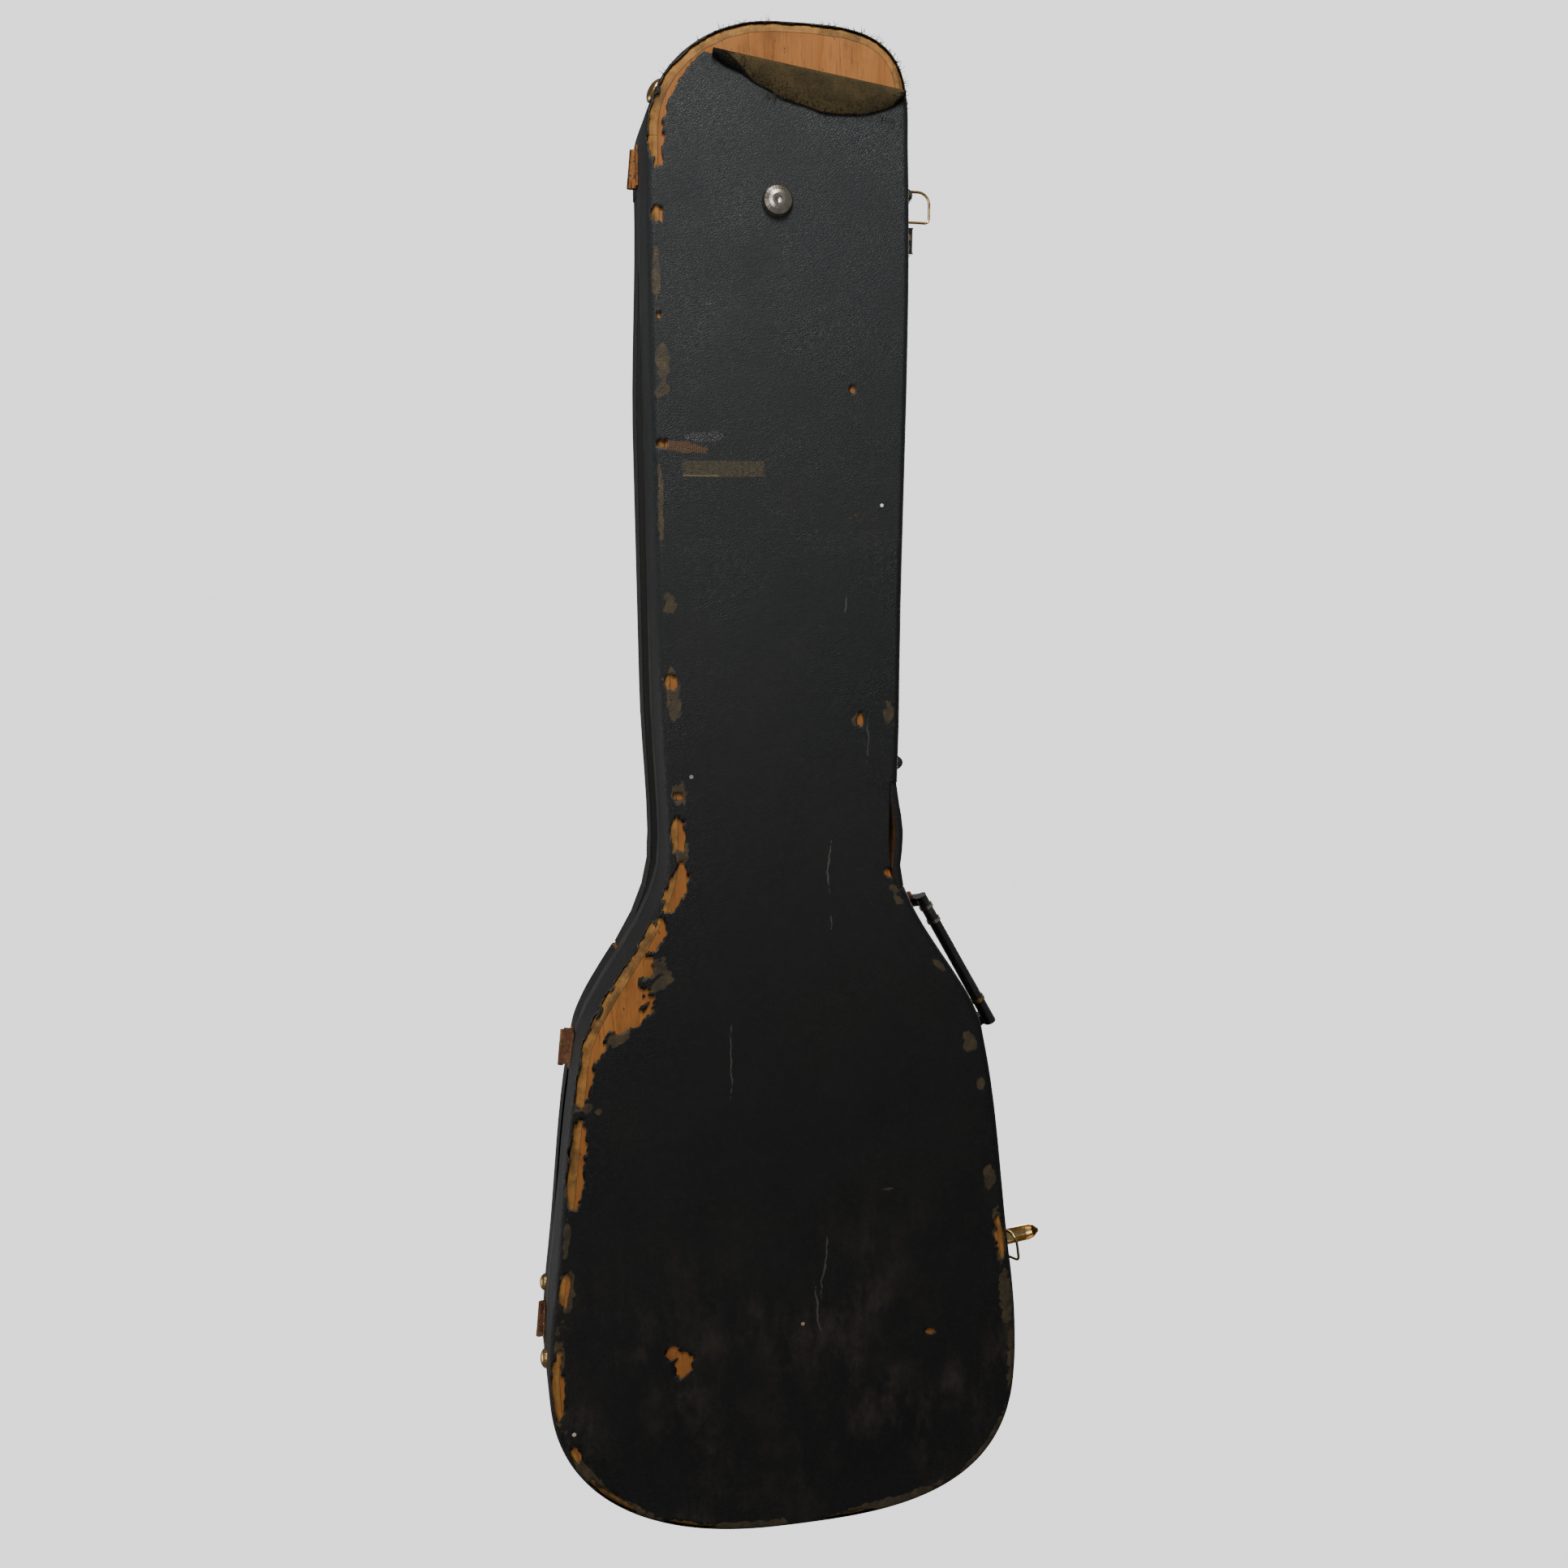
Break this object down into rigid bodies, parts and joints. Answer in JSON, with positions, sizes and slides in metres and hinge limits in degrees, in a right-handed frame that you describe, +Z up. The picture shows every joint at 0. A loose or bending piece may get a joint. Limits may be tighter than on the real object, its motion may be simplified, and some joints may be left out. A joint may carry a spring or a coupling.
{
  "type": "bass guitar case",
  "caption": "Form-fit hard case for a bass guitar: bent plywood shells under worn vinyl, hinged lid, lidded accessory well, over-wall latches and a swinging carry handle.",
  "frame": {"origin": "on the floor under the middle of the whole case's bounding box", "axes": "+X from the head end to the lower bout, +Y towards the hinge side, +Z up through the lid, with the case lying on its base"},
  "size_m": [1.2516, 0.4598, 0.115],
  "materials": {
    "plywood": "bare bent plywood, aged orange",
    "vinyl": "black leather-grain vinyl, dull and worn",
    "rim_band": "smooth black band, semi-gloss",
    "plush": "short dark plush",
    "plush_board": "thin board covered in short dark plush",
    "padding": "foam under short dark plush",
    "tab": "black tab",
    "nickel": "tarnished nickel plate",
    "stud_brass": "dull brass",
    "hinge_steel": "rusty brown, with copper showing",
    "latch_steel": "black japanned steel, worn bright at the edges",
    "lever_brass": "brass, bright where it is rubbed",
    "bail_brass": "brass wire, tarnished",
    "bracket_steel": "black steel with brass showing at the edges",
    "ring_nickel": "nickel, slightly tarnished",
    "grip_plastic": "glossy black"
  },
  "bodies": {
    "base": {"base_covering": "vinyl", "base_covering_sprung": "vinyl", "base_panel": "plywood", "base_wall_body_hinge": "plywood", "base_wall_body_latch": "plywood", "base_wall_head": "plywood", "base_wall_neck_hinge": "plywood", "base_wall_neck_latch": "plywood", "floor_lining": "plush", "foot": "nickel", "handle_bracket_bout": "bracket_steel", "handle_bracket_head": "bracket_steel", "hinge_bout_base_leaf": "hinge_steel", "hinge_head_base_leaf": "hinge_steel", "hinge_shoulder_base_leaf": "hinge_steel", "latch_bout_plate": "latch_steel", "latch_head_plate": "latch_steel", "latch_waist_plate": "latch_steel", "neck_block": "padding", "partition_bout": "plush_board", "partition_head": "plush_board", "rim_band": "rim_band", "shoulder_pad_hinge": "padding", "shoulder_pad_latch": "padding", "side_bracket": "bracket_steel", "stud_bout": "stud_brass", "stud_head": "stud_brass", "tail_pad": "padding", "wall_lining": "plush"},
    "lid": {"hinge_bout_lid_leaf": "hinge_steel", "hinge_head_lid_leaf": "hinge_steel", "hinge_shoulder_lid_leaf": "hinge_steel", "latch_bout_keeper": "latch_steel", "latch_head_keeper": "latch_steel", "latch_waist_keeper": "latch_steel", "lid_covering": "vinyl", "lid_covering_sprung": "vinyl", "lid_lining": "plush", "lid_panel": "plywood", "lid_wall_body_hinge": "plywood", "lid_wall_body_latch": "plywood", "lid_wall_head": "plywood", "lid_wall_neck_hinge": "plywood", "lid_wall_neck_latch": "plywood", "stud_lid": "stud_brass"},
    "compartment_cover": {"compartment_lid": "plush_board", "pull_tab": "tab"},
    "handle": {"handle_cap_bout": "grip_plastic", "handle_cap_head": "grip_plastic", "handle_grip": "grip_plastic", "handle_ring_bout": "ring_nickel", "handle_ring_head_inner": "ring_nickel", "handle_ring_head_outer": "ring_nickel"},
    "latch_head_lever": {"latch_head_lever": "lever_brass"},
    "latch_head_bail": {"latch_head_bail": "bail_brass"},
    "latch_waist_lever": {"latch_waist_lever": "lever_brass"},
    "latch_waist_bail": {"latch_waist_bail": "bail_brass"},
    "latch_bout_lever": {"latch_bout_lever": "lever_brass"},
    "latch_bout_bail": {"latch_bout_bail": "bail_brass"}
  },
  "joints": [
    {"name": "lid_hinge", "type": "hinge", "parent": "base", "child": "lid", "pos_m": [0, 0.1796, 0.0817], "axis": [-0.9947, -0.1025, 0], "range_deg": [0, 105]},
    {"name": "compartment_hinge", "type": "hinge", "parent": "base", "child": "compartment_cover", "pos_m": [-0.29, 0.1012, 0.0463], "axis": [-1, 0, 0], "range_deg": [0, 93]},
    {"name": "handle_swing", "type": "hinge", "parent": "base", "child": "handle", "pos_m": [0.14237, -0.13495, 0.061], "axis": [-0.8749, 0.4844, 0], "range_deg": [-15, 115]},
    {"name": "head_lever_turn", "type": "hinge", "parent": "base", "child": "latch_head_lever", "pos_m": [-0.50389, -0.09474, 0.0705], "axis": [-0.9998, -0.0181, 0], "range_deg": [0, 55]},
    {"name": "head_bail_turn", "type": "hinge", "parent": "base", "child": "latch_head_bail", "pos_m": [-0.50389, -0.09474, 0.0705], "axis": [-0.9998, -0.0181, 0], "range_deg": [-10, 70]},
    {"name": "waist_lever_turn", "type": "hinge", "parent": "base", "child": "latch_waist_lever", "pos_m": [-0.03778, -0.08584, 0.0705], "axis": [-0.9994, -0.0351, 0], "range_deg": [0, 95]},
    {"name": "waist_bail_turn", "type": "hinge", "parent": "base", "child": "latch_waist_bail", "pos_m": [-0.03778, -0.08584, 0.0705], "axis": [-0.9994, -0.0351, 0], "range_deg": [-35, 0]},
    {"name": "bout_lever_turn", "type": "hinge", "parent": "base", "child": "latch_bout_lever", "pos_m": [0.40824, -0.18805, 0.0705], "axis": [-0.9924, 0.1228, 0], "range_deg": [-45, 10]},
    {"name": "bout_bail_turn", "type": "hinge", "parent": "base", "child": "latch_bout_bail", "pos_m": [0.40824, -0.18805, 0.0705], "axis": [-0.9924, 0.1228, 0], "range_deg": [-16, 6]}
  ],
  "couplings": [
    {"joint": "compartment_hinge", "follows": "lid_hinge", "ratio": 0.88}
  ]
}
